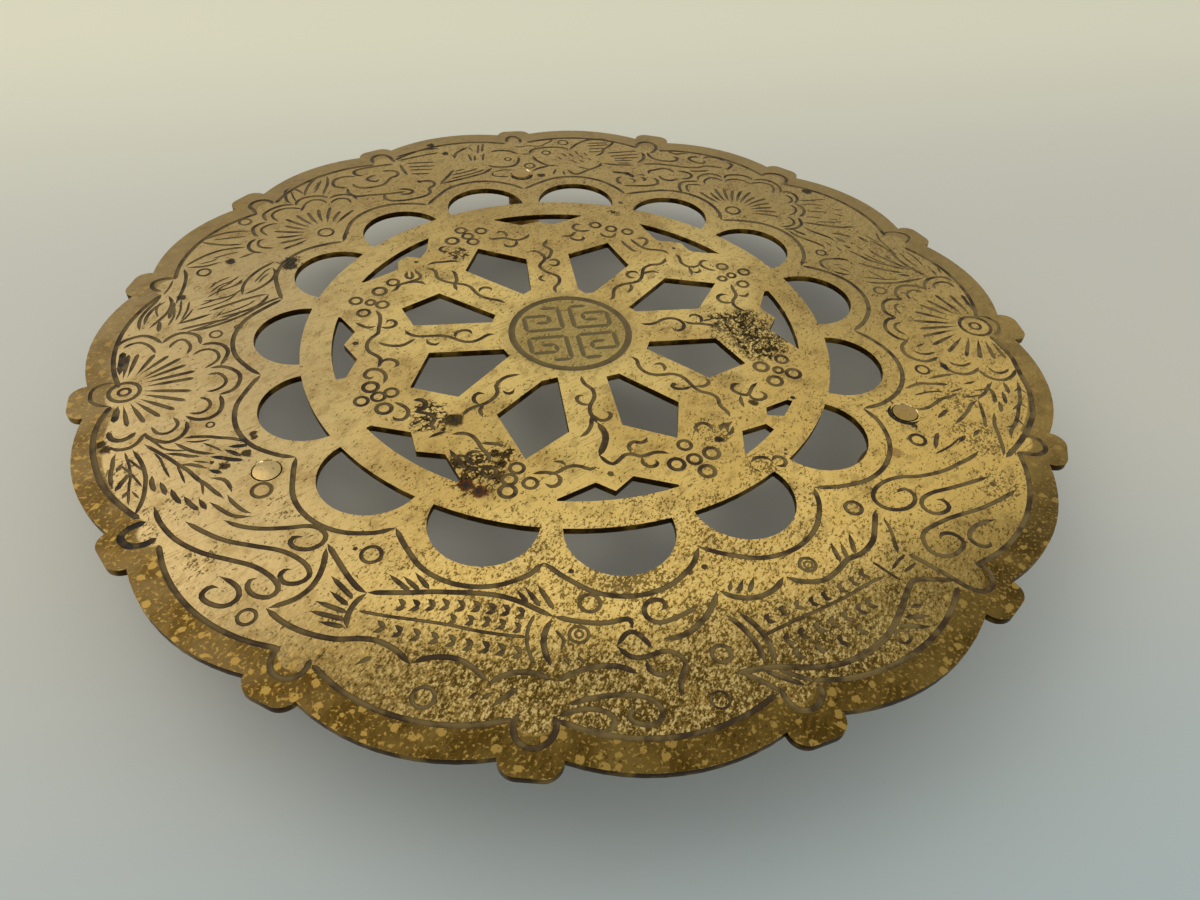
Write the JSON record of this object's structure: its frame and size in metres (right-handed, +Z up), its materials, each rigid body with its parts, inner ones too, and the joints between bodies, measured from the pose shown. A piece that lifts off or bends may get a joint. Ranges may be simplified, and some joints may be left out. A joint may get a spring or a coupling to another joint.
{
  "type": "trivet",
  "caption": "Round pierced brass trivet: a flat engraved plate with a scalloped rim and a rayed wheel at its middle, standing on turned legs.",
  "frame": {"origin": "on the table, under the middle of the scalloped rim", "axes": "+Z up, +Y towards the rear leg"},
  "size_m": [0.2301, 0.2284, 0.0264],
  "materials": {
    "plate_brass": "aged, hand engraved, satin from wear",
    "leg_brass": "aged cast brass, turned, duller than the plate"
  },
  "bodies": {
    "root": {"plate": "plate_brass", "leg_rear": "leg_brass", "leg_left": "leg_brass", "leg_right": "leg_brass"}
  },
  "joints": []
}
